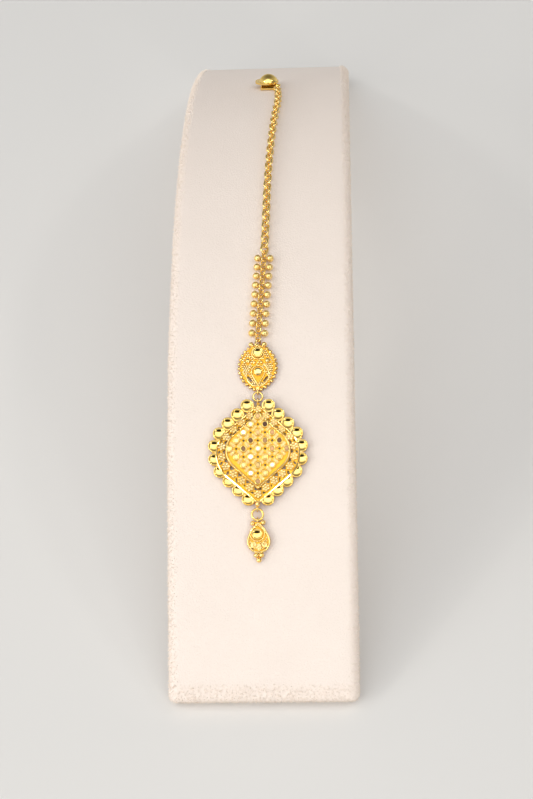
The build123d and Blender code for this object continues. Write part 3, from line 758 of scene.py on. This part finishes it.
def pressed_cup(radius, rise, hollow):
    """Profile of a small cup: a rolled rim round a dish of the given hollow radius."""
    rim = 0.13
    wall = 0.5
    shoulder = 0.12
    steps = 7
    sunk = 0.06
    lip = rise - sunk
    foot = radius * 0.96
    profile = [(0, rise - wall), (foot, rise - wall), (radius, rise - shoulder)]
    for turn in (0, 45, 90, 135, 180):
        angle = math.radians(turn)
        profile.append((radius - rim + rim * math.cos(angle), lip + rim * math.sin(angle)))
    mouth = math.asin((radius - 2 * rim) / hollow)
    bottom = lip - hollow * (1 - math.cos(mouth))
    for k in range(1, steps):
        angle = mouth * (1 - k / steps)
        profile.append((hollow * math.sin(angle), bottom + hollow * (1 - math.cos(angle))))
    profile.append((0, bottom))
    return profile


def button(radius, low, rise):
    """Profile of a low dome on a short wall."""
    wall = 0.1
    steps = 6
    profile = [(0, low), (radius, low)]
    for k in range(steps):
        angle = math.radians(90 * k / steps)
        profile.append((radius * math.cos(angle), low + wall + rise * math.sin(angle)))
    profile.append((0, low + wall + rise))
    return profile


# The cup and the button lean a little towards the front, and each stays over its boss.
boss_top = medal_plate + 0.55
boss_turns = 32
cup_radius = 1.3
cup_rise = boss_top + 0.3
cup_lean = math.radians(13)
cup_spot = (medal_upper[0], medal_upper[1] + cup_rise * math.sin(cup_lean))
cup_form = pressed_cup(cup_radius, cup_rise, hollow=3.0)
upper_cup = turned_form(cup_form, boss_turns, cup_spot, (cup_lean, 0.0))
settle("medallion_cup", gather([upper_cup]), medal_place, cup_gold)
dome_radius = 0.98
dome_low = boss_top - 0.05
dome_lean = math.radians(7)
dome_spot = (medal_lower[0], medal_lower[1] + boss_top * math.sin(dome_lean))
dome_form = button(dome_radius, dome_low, rise=0.26)
lower_dome = turned_form(dome_form, boss_turns, dome_spot, (dome_lean, 0.0))
settle("medallion_button", gather([lower_dome]), medal_place, cut_gold)

# ---- pendant: a pierced lozenge with cups round its rim, rosettes, and a lattice set with studs ----
# Seven granules make each rosette, between the two frames of wire. The lattice walls are covered
# with finer granules in two rows, and a ring of wire round each stud holds a flat polished disc.
pendant_place = seat(-0.0006, 0.0583, plate_lift, math.radians(-0.4))
pendant_plate = 0.7
rosettes_a_side = 10
rosette_step = 0.68
rosette_bead = 0.36
rosette_middle_rise, rosette_outer_rise = 0.50, 0.42
lattice_size = 5
lattice_across, lattice_up, lattice_rise = 1.71, 1.95, 0.95
wall_bead = 0.19
wall_bead_rise = 0.43
wall_rows = 2
wall_beads = 4
wall_pitch = 0.375
dress(["pendant"], plate_gold("pendant_gold", pendant_place, pendant_plate))


def lozenge_side(half_width, half_height, side_radius, rise):
    """Right half of a rounded lozenge, from its top point down: x, y and heading at a share of it."""
    reach = half_width - side_radius
    lean = math.acos(side_radius / math.hypot(half_height, reach)) - math.atan2(reach, half_height)
    touch = Vector((reach + side_radius * math.sin(lean), side_radius * math.cos(lean)))
    top = Vector((0.0, half_height))
    straight = (touch - top).length
    turn = 2 * (math.pi / 2 - lean)

    def at(share):
        distance = share * (2 * straight + side_radius * turn)
        if distance <= straight:
            spot = top.lerp(touch, distance / straight)
            heading = math.atan2(touch.y - top.y, touch.x - top.x)
        elif distance <= straight + side_radius * turn:
            angle = math.pi / 2 - lean - (distance - straight) / side_radius
            spot = Vector((reach + side_radius * math.cos(angle), side_radius * math.sin(angle)))
            heading = angle - math.pi / 2
        else:
            past = (distance - straight - side_radius * turn) / straight
            spot = Vector((touch.x, -touch.y)).lerp(Vector((0.0, -half_height)), past)
            heading = math.atan2(-half_height + touch.y, -touch.x)
        return spot.x, spot.y + rise, heading

    return at


band = lozenge_side(half_width=8.7, half_height=10.2, side_radius=6.2, rise=0.3)
on_axis = 0.3
rosette_beads = []
for k in range(rosettes_a_side + 2):
    x, y, heading = band(k / (rosettes_a_side + 1))
    for side in ((1,) if x < on_axis else (-1, 1)):
        rosette_beads.append((side * x, y, pendant_plate + rosette_middle_rise, rosette_bead))
        for step in range(6):
            angle = side * heading + math.radians(60 * step)
            rosette_beads.append((
                side * x + rosette_step * math.cos(angle),
                y + rosette_step * math.sin(angle),
                pendant_plate + rosette_outer_rise, rosette_bead,
            ))
granulate("rosette_granules", rosette_beads, pendant_place, seed=23)

# Cups pressed from thin sheet line the rim's lobes, each with a rolled lip, and end at the frame.
rim = lozenge_side(half_width=10.35, half_height=13.4, side_radius=8.2, rise=0.25)
cups_a_side = 10
cup_start, cup_end = 0.1, 0.91
cup_shift = 0.13
cup_lip = 0.15
cup_mouth = 1.22
cup_hollow = 3.2
cup_base = 0.25
cup_low = 0.80
cup_wall = 0.3
cup_steps = 7
cup_turns = 28
mouth_angle = math.asin(cup_mouth / cup_hollow)
lip_height = cup_low + cup_hollow * (1 - math.cos(mouth_angle))
lip_middle = cup_mouth + cup_lip
cup_profile = [(0, cup_base), (cup_mouth, cup_base), (lip_middle + cup_lip, lip_height - cup_wall)]
for turn in (0, 45, 90, 135):
    angle = math.radians(turn)
    cup_profile.append((lip_middle + cup_lip * math.cos(angle), lip_height + cup_lip * math.sin(angle)))
for k in range(cup_steps):
    angle = mouth_angle * (1 - k / cup_steps)
    cup_profile.append((cup_hollow * math.sin(angle), cup_low + cup_hollow * (1 - math.cos(angle))))
cup_profile.append((0, cup_low))
frame_line = lozenge_side(half_width=9.85, half_height=11.65, side_radius=7.3, rise=-0.25)
frame_steps = 200
frame_spots = [Vector(frame_line(k / frame_steps)[:2]) for k in range(frame_steps + 1)]
cup_forms = []
for k in range(cups_a_side):
    x, y, heading = rim(cup_start + (cup_end - cup_start) * k / (cups_a_side - 1))
    out_x, out_y = -math.sin(heading), math.cos(heading)
    nearest = min(frame_spots, key=lambda spot: (spot - Vector((x, y))).length)
    for side in (-1, 1):
        middle = (side * (x + cup_shift * out_x), y + cup_shift * out_y)
        cup = turned_form(cup_profile, cup_turns, middle)
        cut = bmesh.ops.bisect_plane(
            cup, geom=cup.verts[:] + cup.edges[:] + cup.faces[:], dist=1.0e-5,
            plane_co=(side * nearest.x, nearest.y, 0),
            plane_no=(side * (x - nearest.x), y - nearest.y, 0), clear_inner=True,
        )
        cut_edges = [part for part in cut["geom_cut"] if isinstance(part, bmesh.types.BMEdge)]
        bmesh.ops.holes_fill(cup, edges=cut_edges)
        bmesh.ops.recalc_face_normals(cup, faces=cup.faces)
        cup_forms.append(cup)
settle("rim_cups", gather(cup_forms), pendant_place, cup_gold)


def bright_cut(name, side, width, inner_rise, outer_rise):
    """Bar along a whole outline, its flat top sloping from the inner edge's rise to the outer's."""
    steps = 48
    sharp_turn = math.radians(35)
    foot = pendant_plate + 0.1
    inner, outer = pendant_plate + inner_rise, pendant_plate + outer_rise
    edges = ((-width / 2, foot), (-width / 2, inner), (width / 2, outer), (width / 2, foot))
    right = [Vector(side(k / steps)[:2]) for k in range(steps + 1)]
    path = right + [Vector((-p.x, p.y)) for p in reversed(right[1:-1])]
    count = len(path)
    form = bmesh.new()
    corners = []
    for k, spot in enumerate(path):
        before = (spot - path[k - 1]).normalized()
        after = (path[(k + 1) % count] - spot).normalized()
        left, right_turn = Vector((-before.y, before.x)), Vector((-after.y, after.x))
        out = (left + right_turn).normalized()
        out = out / out.dot(left)
        corners.append([
            form.verts.new((spot.x + out.x * shift, spot.y + out.y * shift, height))
            for shift, height in edges
        ])
    for k in range(count):
        n = (k + 1) % count
        for c in range(4):
            d = (c + 1) % 4
            form.faces.new((corners[k][c], corners[k][d], corners[n][d], corners[n][c]))
    bmesh.ops.recalc_face_normals(form, faces=form.faces)
    mesh = gather([form])
    mesh.set_sharp_from_angle(angle=sharp_turn)
    settle(name, mesh, pendant_place, cut_gold)


inner_line = lozenge_side(half_width=7.5, half_height=8.95, side_radius=5.0, rise=0.6)
bright_cut("outer_bright_cut", frame_line, width=0.16, inner_rise=0.86, outer_rise=0.79)
bright_cut("inner_bright_cut", inner_line, width=0.22, inner_rise=0.58, outer_rise=0.65)

stud_spots = [
    (lattice_across * (i - j), lattice_rise + lattice_up * (i + j - lattice_size + 1), i, j)
    for i in range(lattice_size) for j in range(lattice_size)
]
wall_lean = math.atan2(lattice_up, lattice_across)
wall_spots = []
for i in range(lattice_size - 1):
    for j in range(lattice_size):
        x = lattice_across * (i - j) + lattice_across / 2
        y = lattice_rise + lattice_up * (i + j - lattice_size + 1) + lattice_up / 2
        wall_spots += [(x, y, -wall_lean), (-x, y, wall_lean)]
lattice_beads = []
for x, y, lean in wall_spots:
    for row in range(wall_rows):
        for k in range(wall_beads):
            along = wall_pitch * (k - (wall_beads - 1) / 2)
            aside = wall_pitch * (row - (wall_rows - 1) / 2)
            lattice_beads.append((
                x + along * math.cos(lean) - aside * math.sin(lean),
                y + along * math.sin(lean) + aside * math.cos(lean),
                pendant_plate + wall_bead_rise, wall_bead,
            ))
granulate("lattice_granules", lattice_beads, pendant_place, seed=31, spread=0.06)

stud_top = pendant_plate + 0.5
ring_radius, ring_wire = 0.70, 0.17
ring_turns = 20
ring_profile = []
for turn in range(0, 405, 45):
    angle = math.radians(turn % 360)
    ring_profile.append((
        ring_radius + ring_wire * math.cos(angle), stud_top + ring_wire * math.sin(angle)
    ))
ring_forms = [turned_form(ring_profile, ring_turns, (x, y)) for x, y, i, j in stud_spots]
for form in ring_forms:
    bmesh.ops.remove_doubles(form, verts=form.verts, dist=0.0001)
    bmesh.ops.recalc_face_normals(form, faces=form.faces)
settle("stud_rings", gather(ring_forms), pendant_place, bright_gold)

# Painted reflection on each disc, by its row up the lattice, from left to right: 0 is a pearl-bright
# painted reflection, 1 an umber painted reflection. They are fixed base colours on each disc.
disc_painted_reflections = [
    (0, (0.75,)),
    (1, (0.0, 0.45)),
    (2, (0.35, 0.45, 0.15)),
    (3, (0.3, 0.0, 0.35, 0.5)),
    (4, (0.3, 0.9, 0.2, 0.6, 0.7)),
    (5, (0.3, 0.95, 0.8, 0.95)),
    (6, (0.0, 0.55, 0.65)),
    (7, (0.15, 1.0)),
    (8, (0.55,)),
]
painted_reflection_of = {(row, k): tone for row, tones in disc_painted_reflections for k, tone in enumerate(tones)}
disc_radius = 0.56
flat_radius = disc_radius * 0.86
disc_facets = 8
disc_lean = 0.10
disc_low, disc_edge, disc_face = -0.16, 0.05, 0.11
disc_profile = [(0, disc_low), (disc_radius, disc_low), (disc_radius, disc_edge)]
disc_profile += [(flat_radius, disc_face), (0, disc_face)]
disc_forms = []
face_painted_reflections = []
for number, (x, y, i, j) in enumerate(stud_spots):
    row = i + j
    first = max(0, row - lattice_size + 1)
    lean = (disc_lean * math.sin(2.4 * number), disc_lean * math.cos(1.7 * number))
    disc = turned_form(disc_profile, disc_facets, lean=lean)
    bmesh.ops.translate(disc, vec=(x, y, stud_top), verts=disc.verts)
    face_painted_reflections += [painted_reflection_of[(row, i - first)]] * len(disc.faces)
    disc_forms.append(disc)
disc_mesh = gather(disc_forms, smooth=False)
# The tone attribute carries each disc's painted reflection.
disc_mesh.attributes.new("tone", "FLOAT", "FACE").data.foreach_set("value", face_painted_reflections)
disc_gold_painted_reflection, tree, shader = new_material("disc_gold_painted_reflection")
shader.inputs["Metallic"].default_value = 1.0
painted_reflection_read = add_node(tree, "ShaderNodeAttribute", attribute_name="tone")
# Painted reflections, from a pale glare at 0 through gold and brown to near black at 1.
disc_reflection_ramp = add_node(tree, "ShaderNodeValToRGB")
disc_reflection_ramp.color_ramp.elements[0].position = 0.0
disc_reflection_ramp.color_ramp.elements[0].color = (1.0, 0.97, 0.88, 1.0)
disc_reflection_ramp.color_ramp.elements[1].position = 1.0
disc_reflection_ramp.color_ramp.elements[1].color = (0.09, 0.05, 0.035, 1.0)
for position, colour in ((0.3, (1.0, 0.74, 0.30, 1.0)), (0.6, (0.55, 0.33, 0.15, 1.0))):
    disc_reflection_ramp.color_ramp.elements.new(position).color = colour
scratch = add_node(tree, "ShaderNodeTexNoise", {"Scale": 2500.0})
scratch_depth = add_node(tree, "ShaderNodeMapRange", {"To Min": 0.16, "To Max": 0.30})
coords = add_node(tree, "ShaderNodeTexCoord")
tree.links.new(coords.outputs["Object"], scratch.inputs["Vector"])
tree.links.new(scratch.outputs["Fac"], scratch_depth.inputs["Value"])
tree.links.new(scratch_depth.outputs[0], shader.inputs["Roughness"])
tree.links.new(painted_reflection_read.outputs["Fac"], disc_reflection_ramp.inputs["Fac"])
tree.links.new(disc_reflection_ramp.outputs["Color"], shader.inputs["Base Color"])
settle("stud_discs", disc_mesh, pendant_place, disc_gold_painted_reflection)

# ---- drop: a teardrop in a wire frame, with a cup in a collar over three beaded petals ----
# It is made as the medallion is: pressed cup, drawn wire, and granules fused over the petals.
drop_place = seat(-0.00065, 0.0374, plate_lift, math.radians(1.3))
drop_plate = 0.7
drop_radius = 2.55
drop_boss = (-0.3, 1.75)
drop_border = 0.42
drop_collar = 2.12
drop_slot = (1.6, -1.65, 50, 1.0, 0.45)
petals = ((-1.3, -0.75, -40), (0.0, -1.35, 0), (1.3, -0.75, 40))
petal_half_length, petal_half_width, petal_height = 0.8, 0.5, 0.3
dress(["drop"], plate_gold("drop_gold", drop_place, drop_plate))


def on_drop(x, y):
    """Whether a spot is on the drop's petals or its open ground."""
    if math.hypot(x, y) > drop_radius - drop_border or in_slot(x, y, drop_slot):
        return False
    return math.hypot(x - drop_boss[0], y - drop_boss[1]) > drop_collar


def petal_rise(x, y):
    """Height of the three petals' tops over the plate, and none between them."""
    for petal_x, petal_y, turn in petals:
        lean = math.radians(turn)
        dx, dy = x - petal_x, y - petal_y
        along = dy * math.cos(lean) - dx * math.sin(lean)
        aside = dx * math.cos(lean) + dy * math.sin(lean)
        if (along / petal_half_length) ** 2 + (aside / petal_half_width) ** 2 < 1.0:
            return petal_height
    return 0.0


drop_ground = beaded_ground(
    pitch=0.42, half_width=2.5, low=-2.5, high=1.6,
    height=drop_plate + 0.10, radius=0.2, allowed=on_drop,
)
drop_beads = [(x, y, z + petal_rise(x, y), radius) for x, y, z, radius in drop_ground]
granulate("drop_granules", drop_beads, drop_place, seed=43)
boss_cup = turned_form(pressed_cup(cup_radius, drop_plate + 0.8, hollow=3.2), boss_turns, drop_boss)
settle("drop_cup", gather([boss_cup]), drop_place, cup_gold)
